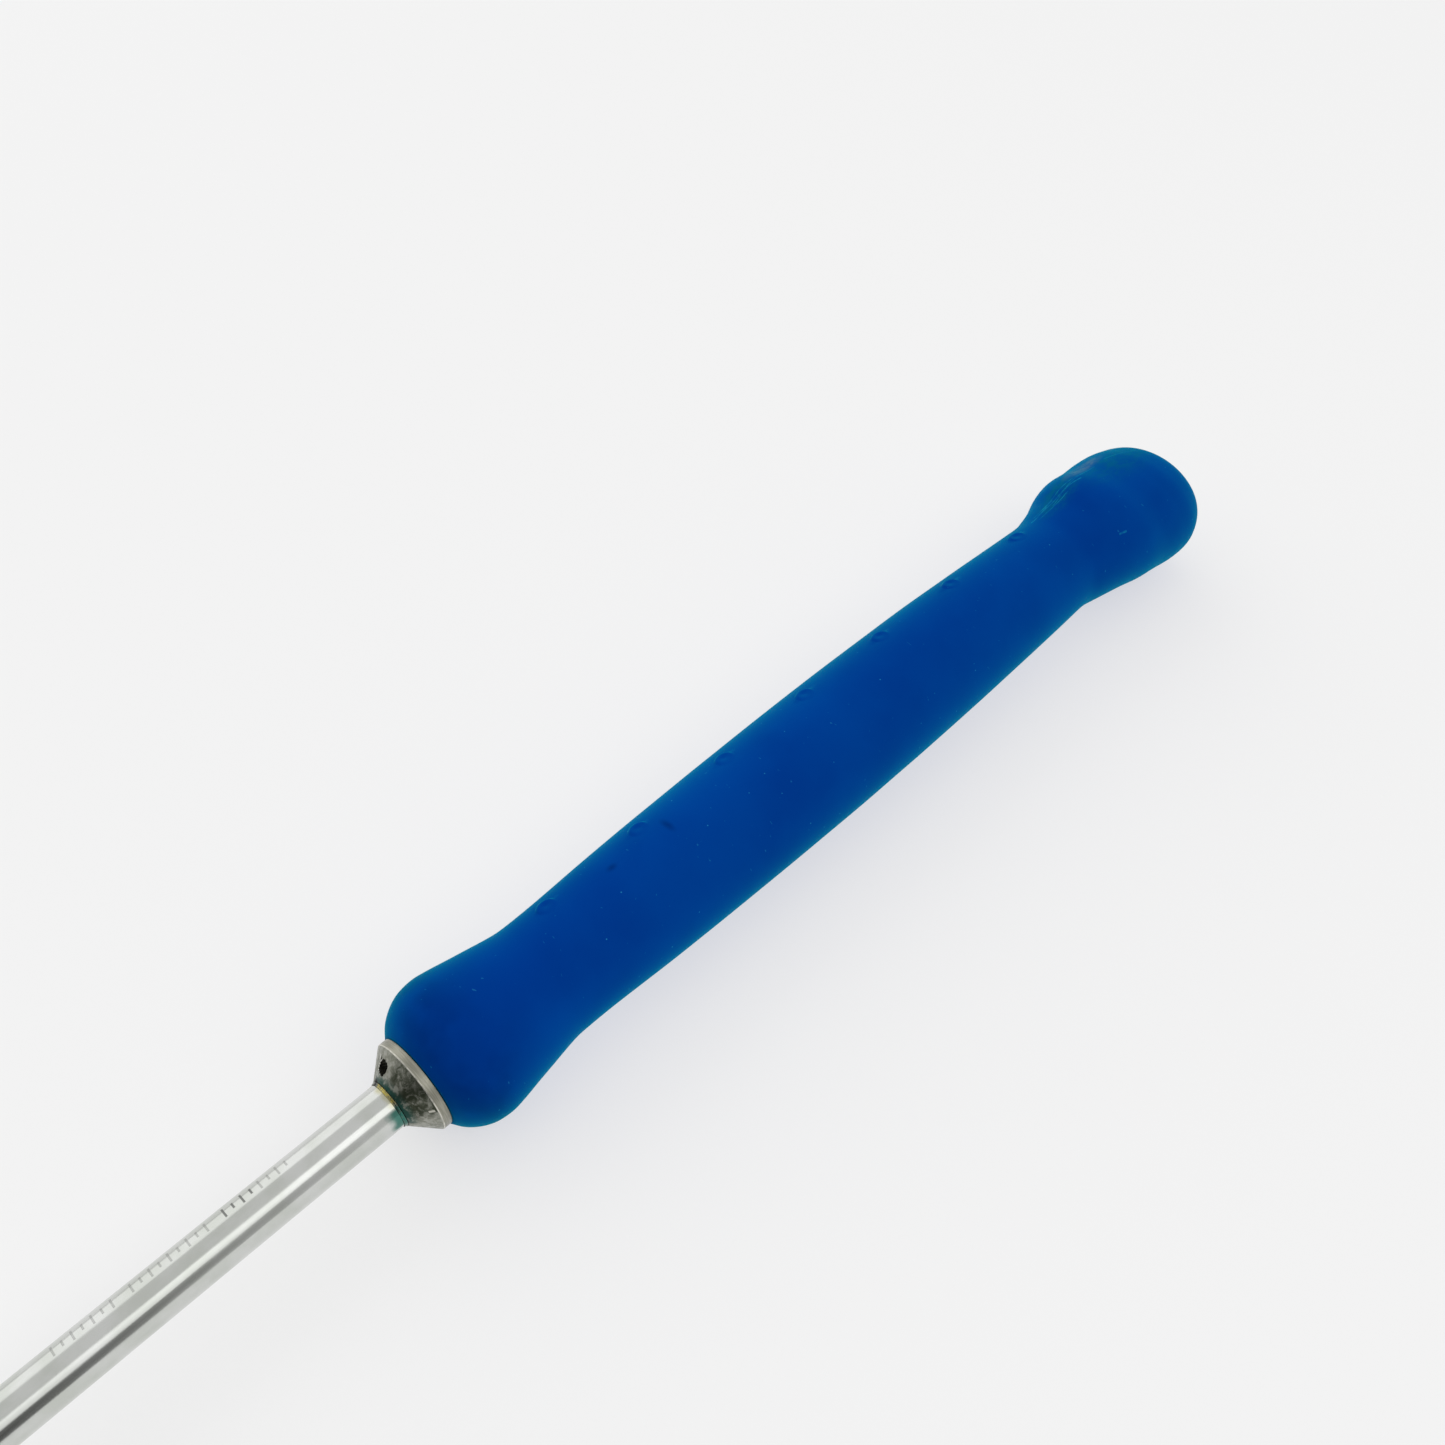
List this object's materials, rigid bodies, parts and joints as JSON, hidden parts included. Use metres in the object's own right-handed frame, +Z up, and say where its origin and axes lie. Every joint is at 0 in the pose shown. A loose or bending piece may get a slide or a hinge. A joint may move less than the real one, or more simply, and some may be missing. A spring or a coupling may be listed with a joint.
{
  "type": "hand scaler",
  "caption": "Long hand scaler: slim round steel shaft with a small hooked blade, in a waisted blue silicone handle with a coned steel collar, slanting round end and finger studs.",
  "frame": {"origin": "on the ground under the middle of the instrument's bounding box, as it lies on the handle's two bulges", "axes": "+X along the instrument towards the working tip, with the shaft's own axis sloping down 0.72 degrees towards the tip; +Z up. The row of studs lies 25.5 degrees from the top, towards -Y"},
  "size_m": [0.3242, 0.0232, 0.0231],
  "materials": {
    "silicone": "satin moulded silicone, blue, a little scuffed",
    "polished_steel": "satin-polished stainless steel",
    "collar_steel": "turned stainless steel, tarnished from sterilising",
    "weld": "heat-tinted weld",
    "mill_steel": "plain turned steel",
    "pin_steel": "ground steel"
  },
  "bodies": {
    "root": {"silicone_grip": "silicone", "core_tube": "mill_steel", "rear_plug": "mill_steel", "front_collar": "collar_steel", "weld_bead": "weld", "shaft": "polished_steel", "tail_bush": "mill_steel", "collar_pin": "pin_steel", "tail_pin": "pin_steel", "scaler_tip": "polished_steel", "tip_pin": "pin_steel"}
  },
  "joints": []
}
